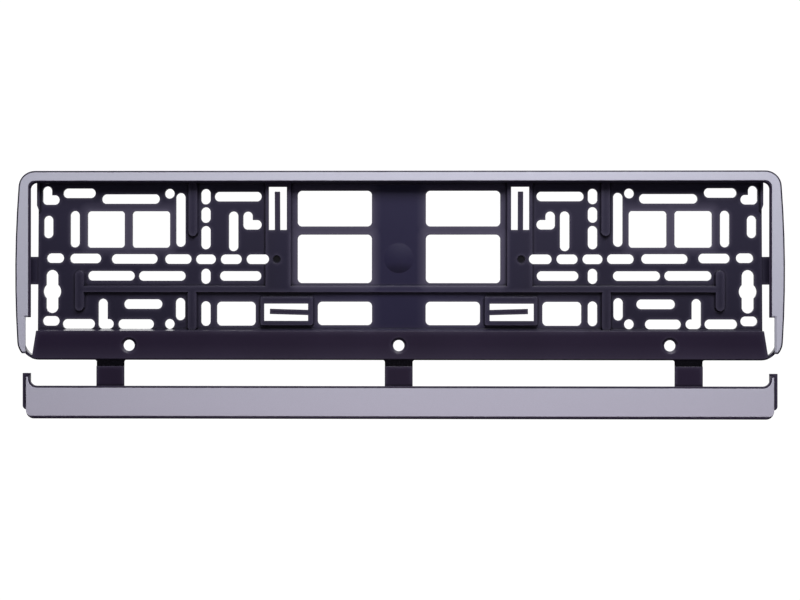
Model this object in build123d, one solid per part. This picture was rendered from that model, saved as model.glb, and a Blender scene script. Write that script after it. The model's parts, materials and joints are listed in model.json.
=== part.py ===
from build123d import *
import math
import os

# Number plate holder for a long plate, shown open with its closing strip hanging below.
# Millimetres, +Z up, front towards -Y. The origin is the centre of the back face.
# Depths are distances in front of that face.

# Plate and frame
plate_w = 520.0
plate_h = 110.0
plate_play = 0.3
side_reach = 7.35
frame_depth = 12.0
wall = 1.2
side_bow_r = 800.0
side_bow_z = -5.2
top_corner_r = 11.5
low_corner_r = 13.5
land_h = 20.4

# Front bands and their silver foil
band_t = 1.5
band_side_w = 9.15
band_top_w = 6.85
band_corner_r = 4.6
band_tip_w = 2.4
band_edge = 1.1
band_edge_depth = 0.5
lip_w = 1.6
lip_bevel = 1.1
foil_t = 0.15
notch_rise = 29.9
rim_depth = 4.4
rim_w = 2.0

# Back panel and its relief
panel_t = 2.0
panel_inset = 6.4
bead_depth = 4.5
bead_wall = 1.5
bead_draft_angle = 15.0
rib_w = 7.4
crossbar_w = 5.4
block_r = 2.0
bridge_w = 19.5
bridge_t = 1.3
guide_t = 1.8
guide_out = 0.6
guide_len = 20.0
guide_taper = 5.0
dome_r = 10.5
dome_rise = 1.2
dimple_r = 2.8
dimple_depth = 0.8

# Openings in the panel, with round ends and corners drawn with flats to keep the pattern light
round_flats = 16
slot_w = 6.7
key_w = 8.6
key_r = 6.3
screw_r = 3.45
square_r = 2.5
window_r = 3.2
tongue_w = 3.75
tongue_t = 1.6
tongue_lean = 1.0

# Lower land
land_depth = 6.4
land_wall = 1.6
land_inset = 5.75
land_flare = 3.3
land_edge_r = 1.2
ledge_draft = 1.3
land_hole_r = 3.9
land_sink_r = 5.7
land_sink_depth = 1.0

# Straps and closing strip
strap_w = 19.5
strap_t = 1.6
strap_len = 20.2
film_t = 0.5
film_len = 4.0
hinge_gap = 0.05
fold_gap = 0.3
strip_h = 23.0
strip_t = 1.8
strip_lip = 2.2
strip_corner_r = 5.5
strip_end_gap = 0.65
strip_edge_r = 0.9
strip_flange = 1.5
strip_toe = 1.4
hook_stem = 2.0
hook_w = 2.8
hook_r = 5.0
tab_reach = 2.7
tab_t = 1.7
tab_over = 1.8
tab_len = 25.5
tab_round = 2.8
border_top = 1.4
border_low = 2.0
border_end = 0.15
border_hook = 1.2
border_tip = 0.8

# Stations on one half of the part, in percent of half the plate's width and of its height
# Flat slots: inner and outer end, height
flat_slots = [
    (82.1, 90.9, 87.9), (64.7, 80.4, 84.2), (37.1, 49.8, 85.7), (91.9, 96.5, 83.6),
    (37.1, 42.1, 67.7), (90.7, 95.4, 46.4), (80.6, 89.1, 46.2), (65.3, 77.8, 45.9),
    (56.1, 63.3, 45.8), (49.5, 54.9, 45.7), (42.5, 48.2, 45.7), (35.0, 41.2, 45.7),
    (71.5, 84.2, 35.1), (57.7, 70.4, 35.0), (37.2, 48.4, 35.0), (64.0, 74.4, 17.0),
    (91.9, 96.5, 6.2), (82.3, 91.1, 4.3), (66.3, 76.0, 4.2), (77.2, 81.4, 4.3),
]
# Upright slots: place across, lower and upper end
upright_slots = [
    (95.2, 80.7, 92.3), (94.9, 59.2, 73.5), (87.7, 53.3, 76.6), (80.1, 1.3, 20.4),
    (59.0, 53.7, 88.0), (59.1, 6.7, 20.9), (52.2, 80.8, 90.6), (52.2, 69.0, 78.9),
    (52.2, 52.1, 66.9), (52.2, 30.0, 39.6), (52.2, 3.1, 18.8), (44.7, 50.9, 76.2),
    (40.8, 64.7, 76.1),
]
# Squares and windows: inner and outer side, lower and upper side
squares = [(74.2, 84.3, 53.1, 76.4), (61.9, 72.1, 53.1, 76.4)]
windows = [
    (7.3, 27.35, 66.65, 89.4), (7.3, 27.35, 30.5, 61.4), (38.7, 49.2, 3.3, 18.5), (7.25, 21.9, 3.65, 18.55),
]
tongue_windows = [(30.2, 35.05, 64.3, 91.7), (24.45, 36.3, 6.4, 17.3)]
# Screw holes: place across, height. Keyhole: place across, lower and upper end
screw_holes = [(62.0, 87.6), (62.0, 4.3)]
keyhole = (93.9, 11.3, 38.8)
# Raised ribs: place across, lower and upper end. Raised blocks: inner and outer side, lower and upper side
ribs = [(86.3, 12.1, 38.8), (55.6, 59.8, 96.0), (55.8, -1.0, 26.5)]
blocks = [(28.9, 36.2, 26.0, 96.0), (22.9, 37.55, 3.0, 22.2)]
rail_low_percent = 93.7
crossbar_percent = 26.5
crossbar_end_percent = 86.3
bridge_percent = 38.4
dome_percent = 46.4
dimple = (32.9, 45.5)
# Spring tongues: root, then tip
tongues = [((32.7, 64.3), (32.7, 88.6)), ((24.4, 11.7), (34.7, 12.4))]
# Straps and screw holes of the land: place across
strap_percent = 77.7
land_hole_percent = 72.7

# Widths and levels that follow from the sizes above
frame_w = plate_w + 2 * side_reach
panel_half = plate_w / 2 - panel_inset
land_half = plate_w / 2 - land_inset
notch_half = plate_w / 2 + plate_play
lip_x = frame_w / 2 - band_side_w - lip_w
frame_h = land_h + plate_h + plate_play + wall
top_z = frame_h / 2
low_z = -top_z
ledge_z = low_z + land_h
notch_z = low_z + notch_rise
band_front = frame_depth - foil_t
band_rear = band_front - band_t
strap_front = land_depth + fold_gap
strap_rear = strap_front - strap_t
strip_seat_z = low_z - strap_len
strip_front = frame_depth - 2 * strap_t
strip_rear = strip_front - strip_t
strip_top_z = strip_seat_z + strip_lip
strip_low_z = strip_top_z - strip_h
strip_half = notch_half + lip_bevel - strip_end_gap
hook_rise = hook_r + hook_stem


# Places on the panel from their stations
def across(percent):
    return plate_w / 2 * percent / 100


def up(percent):
    return ledge_z + plate_h * percent / 100


# A flat shape, drawn as seen from the front, made solid between two depths
def layer(shape, rear, front):
    return extrude(Plane.XZ.offset(rear) * shape, front - rear)


def block(left, right, low, high):
    return Pos((left + right) / 2, (low + high) / 2) * Rectangle(right - left, high - low)


# A block with round corners, whose flats touch the true round
def round_block(left, right, low, high, radius):
    step = 2 * math.pi / round_flats
    reach = radius / math.cos(step / 2)
    points = []
    for flat in range(round_flats):
        angle = (flat + 0.5) * step
        x = right - radius if math.cos(angle) > 0 else left + radius
        z = high - radius if math.sin(angle) > 0 else low + radius
        points.append((x + reach * math.cos(angle), z + reach * math.sin(angle)))
    return make_face(Polyline(points, close=True))


def both_sides(shape):
    return shape + mirror(shape, about=Plane.YZ)


# Outer outline of the frame with bowed sides, or the same line further in
def outline(inset=0):
    half = frame_w / 2 - inset
    bow = side_bow_r - inset

    def side(z):
        return half - bow + math.sqrt(bow ** 2 - (z - side_bow_z) ** 2)

    high = top_z - inset
    low = low_z + inset
    top_right = (side(high), high)
    low_right = (side(low), low)
    top_left = (-side(high), high)
    low_left = (-side(low), low)
    edges = [
        Line(top_left, top_right),
        ThreePointArc(top_right, (half, side_bow_z), low_right),
        Line(low_right, low_left),
        ThreePointArc(low_left, (-half, side_bow_z), top_left),
    ]
    face = make_face(edges)
    corners = face.vertices().sort_by(Axis.Y)
    face = fillet(corners[2:], top_corner_r - inset)
    corners = face.vertices().sort_by(Axis.Y)
    return fillet(corners[:2], low_corner_r - inset)


# Height of the outline's round lower corner at a place across
def corner_z(x):
    middle_z = low_z + low_corner_r
    middle_x = frame_w / 2 - side_bow_r
    middle_x += math.sqrt((side_bow_r - low_corner_r) ** 2 - (middle_z - side_bow_z) ** 2)
    return middle_z - math.sqrt(low_corner_r ** 2 - (x - middle_x) ** 2)


# The bands end in a narrow tip beside the closing strip
foot_z = corner_z(notch_half + band_tip_w)


# The notch for the closing strip, as seen from the front
def notch_face():
    return block(-notch_half, notch_half, low_z - frame_depth, notch_z)


# What the bands leave open, as seen from the front: the plate's view and the notch
def band_opening(lip=0):
    view = block(-lip_x - lip, lip_x + lip, low_z - frame_depth, top_z - band_top_w - lip_w + lip)
    corners = view.vertices().sort_by(Axis.Y)[2:]
    return fillet(corners, band_corner_r) + notch_face()


def below_foot(rise=0):
    return block(-frame_w, frame_w, low_z - frame_depth, foot_z + rise)


def front_edges(solid):
    return solid.edges().group_by(Axis.Y)[0]


# A cut that flares at 45 degrees to the front, so its bevel is as wide as it is deep
def flare(shape, rear):
    return extrude(Plane.XZ.offset(rear) * shape, lip_bevel, taper=-45)


# Top and side bands on their outer walls, and the low rim round the lower corners
def make_bands():
    bands = layer(outline(), 0, band_front)
    front = bands.faces().sort_by(Axis.Y)[0]
    bands = chamfer(front.edges(), band_edge, band_edge_depth, reference=front)
    bands -= layer(outline(wall), 0, band_rear)
    bands -= layer(band_opening() + below_foot(), 0, band_front)
    bands -= flare(band_opening(), band_front - lip_bevel)
    return bands + layer(outline() - outline(rim_w), 0, rim_depth)


# The foil covers the front of the bands, less their lip, and the bevel of the notch
def make_frame_foil():
    face = outline(band_edge) - band_opening(lip_w) - below_foot(band_edge)
    foil = layer(face, band_front, frame_depth)
    foil += flare(notch_face(), band_front - lip_bevel) & layer(face, 0, band_front)
    return foil - flare(notch_face(), frame_depth - lip_bevel)


# Lower land as seen from the front, or set in from its edges
def land_face(inset=0):
    high = ledge_z - inset
    high_half = land_half - inset
    low_half = high_half + land_flare
    corners = [(-high_half, high), (high_half, high), (low_half, low_z), (-low_half, low_z)]
    return make_face(Polyline(corners, close=True)) & outline(inset)


# Drafted ledge on the land that the plate stands on
def make_ledge():
    low = ledge_z - land_wall / 2
    high = ledge_z + ledge_draft
    rear = [(-panel_t / 2, low), (-panel_t / 2, high), (-panel_t, high)]
    profile = make_face(Polyline(rear + [(-land_depth, ledge_z), (-land_depth, low)], close=True))
    return extrude(Plane.YZ * profile, land_half - land_wall, both=True)


# The land is a shallow channel that is open behind, with three countersunk screw holes
def make_land():
    land = layer(land_face(), 0, land_depth)
    land = fillet(front_edges(land).filter_by(Axis.X).sort_by(Axis.Z)[0], land_edge_r)
    land -= layer(land_face(land_wall), 0, land_depth - land_wall)
    hole_z = low_z + land_h / 2
    pitch = across(land_hole_percent)
    for x in (-pitch, 0, pitch):
        land -= layer(Pos(x, hole_z) * Circle(land_hole_r), 0, land_depth)
        sink = Cone(land_hole_r, land_sink_r, land_sink_depth)
        land -= Pos(x, land_sink_depth / 2 - land_depth, hole_z) * Rot(90, 0, 0) * sink
    return land + make_ledge()


def flat_slot(inner, outer, height):
    z = up(height)
    return round_block(across(inner), across(outer), z - slot_w / 2, z + slot_w / 2, slot_w / 2)


def upright_slot(place, low, high, width):
    x = across(place)
    return round_block(x - width / 2, x + width / 2, up(low), up(high), width / 2)


def window(inner, outer, low, high, radius=0):
    sides = (across(inner), across(outer), up(low), up(high))
    return round_block(*sides, radius) if radius else block(*sides)


def make_openings():
    place, low, high = keyhole
    holes = upright_slot(place, low, high, key_w)
    holes += Pos(across(place), up((low + high) / 2)) * Circle(key_r)
    holes += [flat_slot(*slot) for slot in flat_slots]
    holes += [upright_slot(*slot, slot_w) for slot in upright_slots]
    holes += [window(*sides, square_r) for sides in squares]
    holes += [window(*sides, window_r) for sides in windows]
    holes += [window(*sides) for sides in tongue_windows]
    holes += [Pos(across(x), up(z)) * Circle(screw_r) for x, z in screw_holes]
    return layer(both_sides(holes), -panel_t, frame_depth)


# Beads of the panel as seen from the front: left, right, low, high, corner radius
def relief():
    crossbar_x = across(crossbar_end_percent)
    crossbar_low = up(crossbar_percent) - crossbar_w / 2
    beads = [
        (-panel_half, panel_half, up(rail_low_percent), top_z - wall / 2, 0),
        (-crossbar_x, crossbar_x, crossbar_low, crossbar_low + crossbar_w, 0),
    ]
    for side in (-1, 1):
        for place, low, high in ribs:
            x = side * across(place)
            beads.append((x - rib_w / 2, x + rib_w / 2, up(low), up(high), rib_w / 2))
        for inner, outer, low, high in blocks:
            left, right = sorted((side * across(inner), side * across(outer)))
            beads.append((left, right, up(low), up(high), block_r))
    return beads


# Upright guide at a top corner of the panel, which stands out past its side
def guide_face():
    outer = panel_half + guide_out
    inner = outer - guide_t
    high = top_z - wall / 2
    low = up(rail_low_percent) - guide_len
    corners = [(inner, low), (outer, low + guide_taper), (outer, high), (inner, high)]
    return make_face(Polyline(corners, close=True))


# Pierced back panel, raised in beads that are hollow behind
def make_panel():
    low = ledge_z - land_wall / 2
    high = top_z - wall / 2
    corners = [(-land_half, low), (land_half, low), (panel_half, high), (-panel_half, high)]
    panel = layer(make_face(Polyline(corners, close=True)), 0, panel_t)
    bridge_low = up(bridge_percent) - bridge_w / 2
    bridge = block(-frame_w / 2, frame_w / 2, bridge_low, bridge_low + bridge_w)
    panel += layer(bridge & outline(wall / 2), 0, bridge_t)
    hollows = []
    for left, right, low, high, radius in relief():
        shape = round_block(left, right, low, high, radius) if radius else block(left, right, low, high)
        panel += extrude(Plane.XZ.offset(panel_t) * shape, bead_depth - panel_t, taper=bead_draft_angle)
        hollow = block(left + bead_wall, right - bead_wall, low + bead_wall, high - bead_wall)
        hollows.append(layer(hollow, 0, bead_depth - bead_wall))
    panel -= hollows
    panel += layer(both_sides(guide_face()), 0, bead_depth)
    panel += make_dome()
    dimples = both_sides(Pos(across(dimple[0]), up(dimple[1])) * Circle(dimple_r))
    panel -= layer(dimples, bead_depth - dimple_depth, bead_depth)
    return panel - make_openings()


def make_dome():
    ball_r = (dome_r ** 2 + dome_rise ** 2) / (2 * dome_rise)
    z = up(dome_percent)
    ball = Pos(0, ball_r - panel_t - dome_rise, z) * Sphere(ball_r)
    return ball & layer(Pos(0, z) * Circle(dome_r), panel_t / 2, panel_t + dome_rise)


# Spring tongue that leans forward from its root and presses on the plate
def make_tongue(root, tip):
    run = math.dist(root, tip)
    dx = (tip[0] - root[0]) / run
    dz = (tip[1] - root[1]) / run
    side_view = Plane(origin=(root[0], 0, root[1]), x_dir=(dx, 0, dz), z_dir=(dz, 0, -dx))
    rear = bead_depth - tongue_t
    buried = -bead_wall / 2
    rear_side = [(buried, rear), (run, rear + tongue_lean)]
    corners = rear_side + [(run, bead_depth + tongue_lean), (buried, bead_depth)]
    profile = make_face(Polyline(corners, close=True))
    return extrude(side_view * profile, tongue_w / 2, both=True)


def make_frame():
    frame = make_bands() + make_land() + make_panel()
    for side in (-1, 1):
        for root, tip in tongues:
            ends = [(side * across(x), up(z)) for x, z in (root, tip)]
            frame += make_tongue(*ends)
    return frame


# Closing strip as seen from the front, with its hooked ends, or set in from its edges
def strip_face(top=0, low=0, end=0, hook=0, tip=0):
    half = strip_half - end
    inner = strip_half - hook_w + hook
    tip_z = strip_top_z + hook_rise - tip
    top_edge = strip_top_z - top
    low_edge = strip_low_z + low
    right = [(inner, top_edge), (inner, tip_z), (half, tip_z), (half, low_edge)]
    left = [(-x, z) for x, z in reversed(right)]
    face = make_face(Polyline(right + left, close=True))
    corners = face.vertices().sort_by(Axis.Y)
    face = fillet(corners[2:4], hook_r + hook)
    corners = face.vertices().sort_by(Axis.Y)
    return fillet(corners[:2], strip_corner_r - low)


# Cut that slants an end of the strip to fit the bevel of the band beside it
def make_end_cut():
    rear_corner = [(strip_half, -strip_rear), (strip_half - strip_t + foil_t, -strip_rear)]
    profile = make_face(Polyline(rear_corner + [(strip_half, foil_t - strip_front)], close=True))
    return extrude(Plane.XY.offset(strip_low_z) * profile, strip_h + hook_rise)


# The strip is a shallow channel with a tab behind each hook
def make_strip():
    strip = layer(strip_face(), strip_rear, strip_front - foil_t)
    strip = fillet(front_edges(strip).filter_by(Axis.X).sort_by(Axis.Z)[0], strip_edge_r)
    strip -= both_sides(make_end_cut())
    reach = strip_half - strip_corner_r
    seat = block(-reach, reach, strip_seat_z - strip_flange, strip_seat_z)
    toe = block(-reach, reach, strip_low_z, strip_low_z + strip_flange)
    strip += layer(seat, strap_rear, strip_rear) + layer(toe, strip_rear - strip_toe, strip_rear)
    tab_top = strip_top_z + hook_rise + tab_over
    tab = block(strip_half - hook_w, strip_half + tab_reach, tab_top - tab_len, tab_top)
    tab = fillet(tab.vertices().sort_by(Axis.Y)[:2].sort_by(Axis.X)[-1], tab_round)
    return strip + layer(both_sides(tab), strip_rear - tab_t, strip_rear)


def make_strip_foil():
    face = strip_face(border_top, border_low, border_end, border_hook, border_tip)
    return layer(face, strip_front - foil_t, strip_front)


# One strap, thinned to a film where it joins the land
def make_strap(x):
    left = x - strap_w / 2
    right = x + strap_w / 2
    film_low = low_z - film_len
    body = layer(block(left, right, strip_seat_z + hinge_gap, film_low), strap_rear, strap_front)
    film = layer(block(left, right, film_low, low_z - hinge_gap), strap_rear, strap_rear + film_t)
    return body + film


def save(node, solid):
    export_step(solid, f"parts/{node}.step")


os.makedirs("parts", exist_ok=True)
save("holder_frame", make_frame())
save("frame_foil", make_frame_foil())
save("closing_strip", make_strip())
save("strip_foil", make_strip_foil())
save("strap_left", make_strap(-across(strap_percent)))
save("strap_centre", make_strap(0))
save("strap_right", make_strap(across(strap_percent)))
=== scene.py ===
import json
import math

import bmesh
import bpy
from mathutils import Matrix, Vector


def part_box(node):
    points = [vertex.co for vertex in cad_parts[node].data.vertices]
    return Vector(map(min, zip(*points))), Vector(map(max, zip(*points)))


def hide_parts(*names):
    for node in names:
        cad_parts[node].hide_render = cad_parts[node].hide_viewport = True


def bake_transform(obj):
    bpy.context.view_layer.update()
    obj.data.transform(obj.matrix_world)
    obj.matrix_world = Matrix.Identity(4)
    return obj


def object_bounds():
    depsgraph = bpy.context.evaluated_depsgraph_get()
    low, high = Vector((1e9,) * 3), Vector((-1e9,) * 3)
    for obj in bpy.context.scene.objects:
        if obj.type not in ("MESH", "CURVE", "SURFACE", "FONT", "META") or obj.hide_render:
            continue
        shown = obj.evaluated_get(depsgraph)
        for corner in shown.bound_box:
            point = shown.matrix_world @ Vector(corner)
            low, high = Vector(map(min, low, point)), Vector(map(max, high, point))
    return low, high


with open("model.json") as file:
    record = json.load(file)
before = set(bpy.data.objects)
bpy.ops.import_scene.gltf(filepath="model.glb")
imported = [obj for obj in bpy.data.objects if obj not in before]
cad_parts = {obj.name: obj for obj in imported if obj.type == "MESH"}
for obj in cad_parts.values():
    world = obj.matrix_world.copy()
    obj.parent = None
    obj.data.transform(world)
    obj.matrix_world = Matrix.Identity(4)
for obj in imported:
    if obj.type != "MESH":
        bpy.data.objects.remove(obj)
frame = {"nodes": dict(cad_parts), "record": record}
cad_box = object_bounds()

# Photograph, in pixels and in metres to a pixel
image_width = 800
pixel_size = 0.000694

# Camera, in metres and radians, with its sensor in millimetres
camera_distance = 0.900
aim_x = 0.00095
aim_z = -0.0239
camera_yaw = math.radians(0.74)
camera_roll = math.radians(-0.03)
sensor_width = 36.0

# Straps and films, in metres
film_length = 0.0040
film_thickness = 0.0005
film_flare = 0.0012
film_overlap = 0.0002
strap_edge = 0.00025
hinge_film_reach = 0.0012
hinge_film_thickness = 0.0003

# Straps and films, as counts, rates and shares
film_rows = 14
flare_rate = 3
shoulder_shares = (0.35, 0.75, 1.0)
shoulder_slope = 0.3
corner_parts = 3

# Places and reach of the finishes, wear and painted light and shade, in metres
edge_radius = 0.0005
edge_wear_glare_reach = 0.0045
shelter_reach = 0.003
glare_reach = 0.0080
glare_least_height = 0.008
foot_rise = 0.0035
foot_reach = 0.0075
panel_depth = 0.0046
land_depth = 0.0058
tint_half_height = 0.045
blue_half = 0.025
blue_fade = 0.065
pit_x = 0.0855
pit_z = 0.0049
pit_radius = 0.0028
pit_softness = 0.0007
grain_depth = 0.00002
flake_depth = 0.000006

# Painted glare, as a strength to a metre of an opening's height, and painted reflection, as a strength at
# the land's foot
glare_per_metre = 42.0
foot_reflection = 0.14

# Noise patterns, in waves to a metre, and the band that their values fill
flow_noise = {"Scale": 16.0, "Detail": 2.0}
grain_noise = {"Scale": 2600.0, "Detail": 2.0}
stretch_noise = {"Scale": 900.0, "Detail": 2.0}
flake_noise = {"Scale": 5200.0, "Detail": 1.0}
noise_band = (0.3, 0.7)

# Ranges, each from its start to its end
whole = (0.0, 1.0)
tint_drift = (-0.2, 0.2)
# Edge wear with painted glare
edge_wear_glare_turn = (1.0, 0.82)
edge_wear_glare_share = (0.0, 0.5)
edge_wear_glare_openness = (0.7, 0.95)
# Painted shade in corners and on undersides, and duller shine on slopes
corner_openness = (0.35, 0.85)
lean_below = (-0.06, -0.18)
lean_above = (0.03, 0.16)
shade_below = (0.0, 0.55)
dull_below = (0.0, 0.75)
dull_above = (0.0, 0.48)
plastic_shine = (0.3, 0.03)
plastic_roughness = (0.32, 0.42)
film_roughness = (0.2, 0.3)
foil_roughness = (0.42, 0.54)

# Single strengths, and the rays that feel for what is near
film_shine = 0.2
foil_metal = 0.3
near_rays = 8

# Colours, each from its dark shade to its light one
land_black = ((0.014, 0.0085, 0.023), (0.017, 0.0105, 0.028))
panel_blue = ((0.0155, 0.0132, 0.0375), (0.0188, 0.0162, 0.0440))
panel_grey = ((0.0148, 0.0126, 0.0268), (0.0205, 0.0177, 0.0370))
# Edge wear and painted glare
wear_and_glare_grey = ((0.066, 0.059, 0.092), (0.080, 0.072, 0.110))
# Painted shade, for pits, undersides, corners and the hinge film
shade_black = ((0.002, 0.002, 0.003), (0.004, 0.0035, 0.006))
# Silver with painted shade at the strip's foot, and the lighter silver of the frame
shaded_silver = ((0.500, 0.482, 0.573), (0.580, 0.559, 0.662))
frame_silver = ((0.50, 0.50, 0.588), (0.58, 0.58, 0.680))

# Plain colours of the studio
black = (0, 0, 0)
white = (1, 1, 1)
low_fill_pink = (1.0, 0.88, 1.0)

# Dome of the studio, from straight below to straight above
nadir_to_zenith = (-1.0, 1.0)
dome_places = (0.0, 0.5, 1.0)
dome_shades = ((0.12, 0.12, 0.13), (0.03, 0.03, 0.035), (0.30, 0.31, 0.34))

# White behind the part, by how far a direction points to the rear, and white for the eye, as a strength
straight_behind = (0.80, 0.92)
white_level = 1.05

# Floor, in metres, as far below the part as a bumper stands over the road
floor_drop = 0.45
floor_half = 4.0


def new_material(name):
    material = bpy.data.materials.new(name)
    material.use_nodes = True
    return material


def add_node(tree, kind, **inputs):
    node = tree.nodes.new(kind)
    for name, value in inputs.items():
        node.inputs[name.replace("_", " ")].default_value = value
    return node


def link(tree, source, target):
    tree.links.new(source, target)


# Places in the part's own metres
def add_place(tree):
    return add_node(tree, "ShaderNodeTexCoord").outputs["Object"]


def add_axes(tree, vector):
    axes = add_node(tree, "ShaderNodeSeparateXYZ")
    link(tree, vector, axes.inputs["Vector"])
    return axes.outputs


def add_noise(tree, pattern):
    noise = add_node(tree, "ShaderNodeTexNoise", **pattern)
    link(tree, add_place(tree), noise.inputs["Vector"])
    return noise.outputs["Fac"]


# Shades that follow one another along a factor
def add_shades(tree, factor, shades, places=noise_band):
    ramp = add_node(tree, "ShaderNodeValToRGB")
    elements = ramp.color_ramp.elements
    while len(elements) < len(shades):
        elements.new(1.0)
    for element, place, shade in zip(elements, places, shades):
        element.position = place
        element.color = (*shade, 1)
    link(tree, factor, ramp.inputs["Fac"])
    return ramp.outputs["Color"]


# One range carried over to another
def add_range(tree, value, span, result=whole):
    start, end = span
    low, high = result
    node = add_node(tree, "ShaderNodeMapRange", From_Min=start, From_Max=end, To_Min=low, To_Max=high)
    link(tree, value, node.inputs["Value"])
    return node.outputs["Result"]


# A sum or product, held between 0 and 1
def add_math(tree, operation, first, second):
    node = add_node(tree, "ShaderNodeMath")
    node.operation = operation
    node.use_clamp = True
    link(tree, first, node.inputs[0])
    link(tree, second, node.inputs[1])
    return node.outputs["Value"]


def add_vector(tree, operation, vector, constant=(0, 0, 0)):
    node = add_node(tree, "ShaderNodeVectorMath")
    node.operation = operation
    node.inputs[1].default_value = constant
    link(tree, vector, node.inputs[0])
    return node.outputs["Value" if operation == "LENGTH" else "Vector"]


def add_mix(tree, factor, first, second):
    mix = add_node(tree, "ShaderNodeMix")
    mix.data_type = "RGBA"
    link(tree, factor, mix.inputs["Factor"])
    link(tree, first, mix.inputs["A"])
    link(tree, second, mix.inputs["B"])
    return mix.outputs["Result"]


# One shader or the other on the tree's output
def show_either(tree, output, factor, first, second):
    mix = add_node(tree, "ShaderNodeMixShader")
    link(tree, factor, mix.inputs["Fac"])
    link(tree, first, mix.inputs[1])
    link(tree, second, mix.inputs[2])
    link(tree, mix.outputs["Shader"], tree.nodes[output].inputs["Surface"])


# Fine bump on edges that are shaded as rounded
def add_surface(tree, shader, height, depth):
    bevel = add_node(tree, "ShaderNodeBevel", Radius=edge_radius)
    bump = add_node(tree, "ShaderNodeBump", Strength=1.0, Distance=depth)
    link(tree, height, bump.inputs["Height"])
    link(tree, bevel.outputs["Normal"], bump.inputs["Normal"])
    link(tree, bump.outputs["Normal"], shader.inputs["Normal"])


# How free a place is of walls that stand over it
def add_openness(tree):
    shelter = add_node(tree, "ShaderNodeAmbientOcclusion", Distance=shelter_reach)
    shelter.samples = near_rays
    return shelter.outputs["AO"]


# How far a surface leans up or down
def add_lean(tree):
    normal = add_node(tree, "ShaderNodeTexCoord").outputs["Normal"]
    return add_axes(tree, normal)["Z"]


# How far a place is paled by edge wear and painted glare, from how the surface turns near it
def add_edge_wear_and_glare(tree, openness):
    rounded = add_node(tree, "ShaderNodeBevel", Radius=edge_wear_glare_reach)
    rounded.samples = near_rays
    likeness = add_node(tree, "ShaderNodeVectorMath")
    likeness.operation = "DOT_PRODUCT"
    link(tree, rounded.outputs["Normal"], likeness.inputs[0])
    link(tree, add_node(tree, "ShaderNodeNewGeometry").outputs["True Normal"], likeness.inputs[1])
    turn = add_range(tree, likeness.outputs["Value"], edge_wear_glare_turn, edge_wear_glare_share)
    return add_math(tree, "MULTIPLY", turn, add_range(tree, openness, edge_wear_glare_openness))


# Distance from a box, measured along the panel
def add_gap(tree, low, high):
    along = Vector((1, 0, 1))
    flat = add_vector(tree, "MULTIPLY", add_place(tree), along)
    offset = add_vector(tree, "SUBTRACT", flat, along * (low + high) / 2)
    span = add_vector(tree, "ABSOLUTE", offset)
    beyond = add_vector(tree, "SUBTRACT", span, along * (high - low) / 2)
    return add_vector(tree, "LENGTH", add_vector(tree, "MAXIMUM", beyond))


# Paler places: rubbed edges with painted glare, a painted reflection along the land's foot, and painted
# glare round the large openings
def add_glare_and_wear(tree, openness):
    low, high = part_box("holder_frame")
    # Painted reflection along the land's foot
    foot_z = low.z + foot_rise
    gap = add_gap(tree, Vector((low.x, 0, foot_z)), Vector((high.x, 0, foot_z)))
    foot = add_range(tree, gap, (0.0, foot_reach), (foot_reflection, 0.0))
    haze = add_math(tree, "ADD", add_edge_wear_and_glare(tree, openness), foot)
    # Painted glare round the large openings
    for opening in frame["record"]["physics"]["openings"]:
        if "window" in opening["name"] or "square" in opening["name"]:
            low, high = (Vector(corner) for corner in opening["box_m"])
            strength = glare_per_metre * (high.z - low.z - glare_least_height)
            near = add_range(tree, add_gap(tree, low, high), (0.0, glare_reach), (strength, 0.0))
            haze = add_math(tree, "ADD", haze, near)
    return haze


# The panel's tint: bluer in the middle, and darker towards the land
def add_tint(tree, flow):
    place = add_place(tree)
    rise = add_range(tree, add_axes(tree, place)["Z"], (-tint_half_height, tint_half_height))
    drift = add_math(tree, "ADD", rise, add_range(tree, flow, noise_band, tint_drift))
    side = add_axes(tree, add_vector(tree, "ABSOLUTE", place))["X"]
    outward = add_range(tree, side, (blue_half, blue_half + blue_fade))
    blue = add_shades(tree, drift, panel_blue, whole)
    grey = add_shades(tree, drift, panel_grey, whole)
    return add_mix(tree, outward, blue, grey)


# Painted shadow in the two round pits of the panel
def add_pit_shadows(tree):
    shades = []
    for x in (-pit_x, pit_x):
        middle = Vector((x, 0, pit_z))
        gap = add_gap(tree, middle, middle)
        shades.append(add_range(tree, gap, (pit_radius - pit_softness, pit_radius), (1.0, 0.0)))
    return add_math(tree, "ADD", *shades)


# Black with paler edges and openings, from edge wear, painted glare and a painted reflection at the land's
# foot, and with painted shade in pits, on undersides and in corners
def add_black(tree, flow, openness, lean):
    sunk = add_range(tree, add_axes(tree, add_place(tree))["Y"], (-land_depth, -panel_depth))
    dark = add_shades(tree, flow, shade_black)
    color = add_mix(tree, sunk, add_shades(tree, flow, land_black), add_tint(tree, flow))
    color = add_mix(tree, add_glare_and_wear(tree, openness), color, add_shades(tree, flow, wear_and_glare_grey))
    color = add_mix(tree, add_pit_shadows(tree), color, dark)
    color = add_mix(tree, add_range(tree, lean, lean_below, shade_below), color, dark)
    return add_mix(tree, add_range(tree, openness, corner_openness), dark, color)


# Less shine on slopes, and least on undersides
def add_shine(tree, lean):
    below = add_range(tree, lean, lean_below, dull_below)
    above = add_range(tree, lean, lean_above, dull_above)
    return add_range(tree, add_math(tree, "ADD", below, above), whole, plastic_shine)


def make_plastic():
    material = new_material("black_plastic")
    tree = material.node_tree
    shader = tree.nodes["Principled BSDF"]
    grain = add_noise(tree, grain_noise)
    lean = add_lean(tree)
    color = add_black(tree, add_noise(tree, flow_noise), add_openness(tree), lean)
    link(tree, color, shader.inputs["Base Color"])
    link(tree, add_range(tree, grain, noise_band, plastic_roughness), shader.inputs["Roughness"])
    link(tree, add_shine(tree, lean), shader.inputs["Specular IOR Level"])
    add_surface(tree, shader, grain, grain_depth)
    return material


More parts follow.
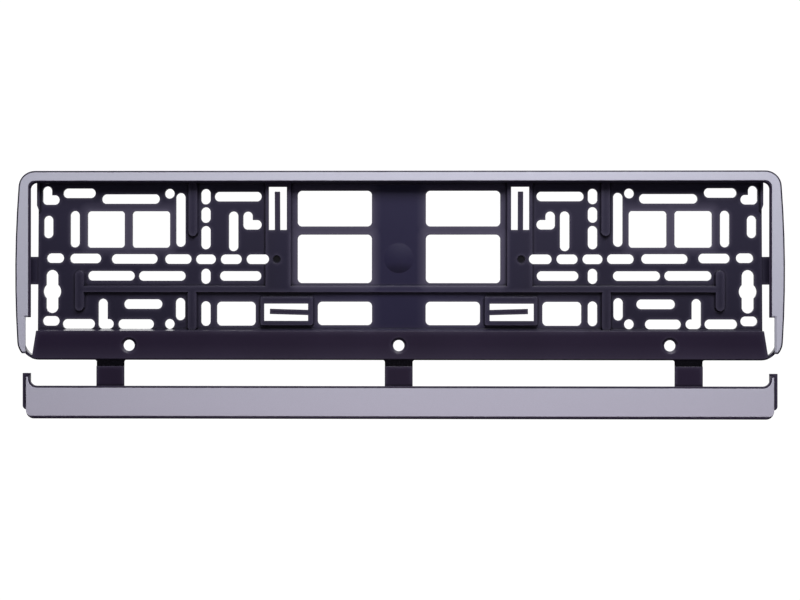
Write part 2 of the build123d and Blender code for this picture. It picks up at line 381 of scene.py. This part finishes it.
# The hinge film: glossier than the plastic, and painted near black as painted shade
def make_film():
    material = new_material("hinge_film")
    tree = material.node_tree
    shader = tree.nodes["Principled BSDF"]
    stretch = add_noise(tree, stretch_noise)
    link(tree, add_shades(tree, stretch, shade_black), shader.inputs["Base Color"])
    link(tree, add_range(tree, stretch, noise_band, film_roughness), shader.inputs["Roughness"])
    shader.inputs["Specular IOR Level"].default_value = film_shine
    return material


# Silver with painted shade: a shade darker and warmer towards the foot of the strip, where the key light
# falls off
def make_foil():
    material = new_material("silver_foil")
    tree = material.node_tree
    shader = tree.nodes["Principled BSDF"]
    flake = add_noise(tree, flake_noise)
    height = add_axes(tree, add_place(tree))["Z"]
    rise = add_range(tree, height, (cad_box[0].z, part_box("frame_foil")[0].z))
    low = add_shades(tree, flake, shaded_silver)
    high = add_shades(tree, flake, frame_silver)
    link(tree, add_mix(tree, rise, low, high), shader.inputs["Base Color"])
    link(tree, add_range(tree, flake, noise_band, foil_roughness), shader.inputs["Roughness"])
    shader.inputs["Metallic"].default_value = foil_metal
    add_surface(tree, shader, flake, flake_depth)
    return material


def add_materials(obj, *materials):
    for material in materials:
        obj.data.materials.append(material)


def add_object(name, data):
    obj = bpy.data.objects.new(name, data)
    bpy.context.scene.collection.objects.link(obj)
    return obj


# A closed bar through sections of height, half width, front and rear depth, with bevelled long edges
def make_bar(name, middle, sections, film_from=math.inf):
    bar = bmesh.new()
    rings = []
    for z, half, front, rear in sections:
        corner = min(strap_edge, (front - rear) / corner_parts)
        inner = half - corner
        outline = [(inner, front), (half, front - corner), (half, rear + corner), (inner, rear)]
        outline += [(-x, depth) for x, depth in reversed(outline)]
        rings.append([bar.verts.new((middle + x, -depth, z)) for x, depth in outline])
    for (z, *_), upper, lower in zip(sections[1:], rings, rings[1:]):
        for k in range(len(upper)):
            face = bar.faces.new((upper[k], upper[k - 1], lower[k - 1], lower[k]))
            face.material_index = int(z >= film_from)
    bar.faces.new(rings[0])
    bar.faces.new(reversed(rings[-1]))
    bmesh.ops.recalc_face_normals(bar, faces=bar.faces)
    mesh = bpy.data.meshes.new(name)
    bar.to_mesh(mesh)
    bar.free()
    return add_object(name, mesh)


# A strap that thins to a film under the land, where it flares and bends
def make_strap(node, plastic, film):
    low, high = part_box(node)
    middle = (low.x + high.x) / 2
    half = (high.x - low.x) / 2
    rear, front = -high.y, -low.y
    film_low = high.z - film_length
    sections = []
    for row in range(film_rows + 1):
        share = row / film_rows
        flare = film_flare * max(0.0, 1 - flare_rate * share) ** 2
        z = high.z + film_overlap - share * (film_length + film_overlap)
        sections.append((z, half + flare, rear + film_thickness, rear))
    for share in shoulder_shares:
        rise = (front - rear - film_thickness) * share
        sections.append((film_low - shoulder_slope * rise, half, rear + film_thickness + rise, rear))
    sections.append((low.z + strap_edge, half, front, rear))
    sections.append((low.z, half - strap_edge, front - strap_edge, rear + strap_edge))
    strap = make_bar(node + "_web", middle, sections, film_low - strap_edge)
    add_materials(strap, plastic, film)
    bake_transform(strap)
    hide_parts(node)


# The film behind the strap's foot, where the strip turns
def make_hinge_film(node, film):
    low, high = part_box(node)
    middle = (low.x + high.x) / 2
    half = (high.x - low.x) / 2 - strap_edge
    sections = []
    for row in range(film_rows + 1):
        z = low.z + hinge_film_reach * (1 - 2 * row / film_rows)
        sections.append((z, half, -high.y, -high.y - hinge_film_thickness))
    piece = make_bar(node + "_film", middle, sections)
    add_materials(piece, film)
    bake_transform(piece)


def dress_nodes():
    plastic = make_plastic()
    film = make_film()
    foil = make_foil()
    for name, node in list(frame["nodes"].items()):
        if name.startswith("strap"):
            make_strap(name, plastic, film)
            make_hinge_film(name, film)
        else:
            node.material_slots[0].material = foil if name.endswith("foil") else plastic


def make_camera():
    data = bpy.data.cameras.new("camera")
    data.sensor_width = sensor_width
    data.lens = sensor_width * camera_distance / (image_width * pixel_size)
    camera = add_object("camera", data)
    aim = Vector((aim_x, cad_box[0].y, aim_z))
    camera.location = aim + camera_distance * Vector((math.sin(camera_yaw), -math.cos(camera_yaw), 0))
    camera.rotation_euler = (math.pi / 2, camera_roll, camera_yaw)
    bpy.context.scene.camera = camera


# A soft light, turned towards the part
def add_light(name, place, width, height, power, color=white):
    data = bpy.data.lights.new(name, "AREA")
    data.shape = "RECTANGLE"
    data.size = width
    data.size_y = height
    data.energy = power
    data.color = color
    light = add_object(name, data)
    light.location = place
    light.rotation_euler = (-Vector(place)).to_track_quat("-Z", "Y").to_euler()


# Places and sizes in metres, and power in watts
def make_lights():
    add_light("key", place=(0.14, -0.68, 0.72), width=0.8, height=0.45, power=13.0)
    add_light("low_fill", place=(0.05, -0.9, -0.55), width=0.9, height=0.3, power=1.6, color=low_fill_pink)
    add_light("rear", place=(-0.35, 0.85, 0.55), width=0.9, height=0.6, power=7.0)


# A dim dome all round, with white straight behind the part
def add_studio(tree):
    axes = add_axes(tree, add_node(tree, "ShaderNodeTexCoord").outputs["Generated"])
    height = add_range(tree, axes["Z"], nadir_to_zenith)
    dome = tree.nodes["Background"]
    link(tree, add_shades(tree, height, dome_shades, dome_places), dome.inputs["Color"])
    rear = add_node(tree, "ShaderNodeBackground")
    link(tree, add_shades(tree, axes["Y"], (black, white), straight_behind), rear.inputs["Color"])
    light = add_node(tree, "ShaderNodeAddShader")
    link(tree, dome.outputs["Background"], light.inputs[0])
    link(tree, rear.outputs["Background"], light.inputs[1])
    return light.outputs["Shader"]


# White all round for the eye, and the studio as light
def make_world():
    world = bpy.data.worlds.new("studio")
    world.use_nodes = True
    tree = world.node_tree
    paper = add_node(tree, "ShaderNodeBackground", Color=(*white, 1), Strength=white_level)
    seen = add_node(tree, "ShaderNodeLightPath").outputs["Is Camera Ray"]
    show_either(tree, "World Output", seen, add_studio(tree), paper.outputs["Background"])
    bpy.context.scene.world = world


# White from above and clear from below
def make_floor_paint():
    material = new_material("floor")
    tree = material.node_tree
    paint = add_node(tree, "ShaderNodeEmission", Color=(*white, 1), Strength=white_level)
    clear = add_node(tree, "ShaderNodeBsdfTransparent")
    underside = add_node(tree, "ShaderNodeNewGeometry").outputs["Backfacing"]
    show_either(tree, "Material Output", underside, paint.outputs["Emission"], clear.outputs["BSDF"])
    return material


# A plain floor for the eye, which takes no part in the lighting
def make_floor():
    mesh = bpy.data.meshes.new("floor")
    corners = [(-1, -1, 0), (1, -1, 0), (1, 1, 0), (-1, 1, 0)]
    mesh.from_pydata(corners, [], [range(len(corners))])
    floor = add_object("floor", mesh)
    floor.scale = (floor_half, floor_half, 1)
    floor.location.z = cad_box[0].z - floor_drop
    floor.visible_diffuse = False
    floor.visible_glossy = False
    floor.visible_shadow = False
    add_materials(floor, make_floor_paint())


dress_nodes()
make_lights()
make_world()
make_floor()
make_camera()
bpy.context.scene.view_settings.view_transform = "Standard"
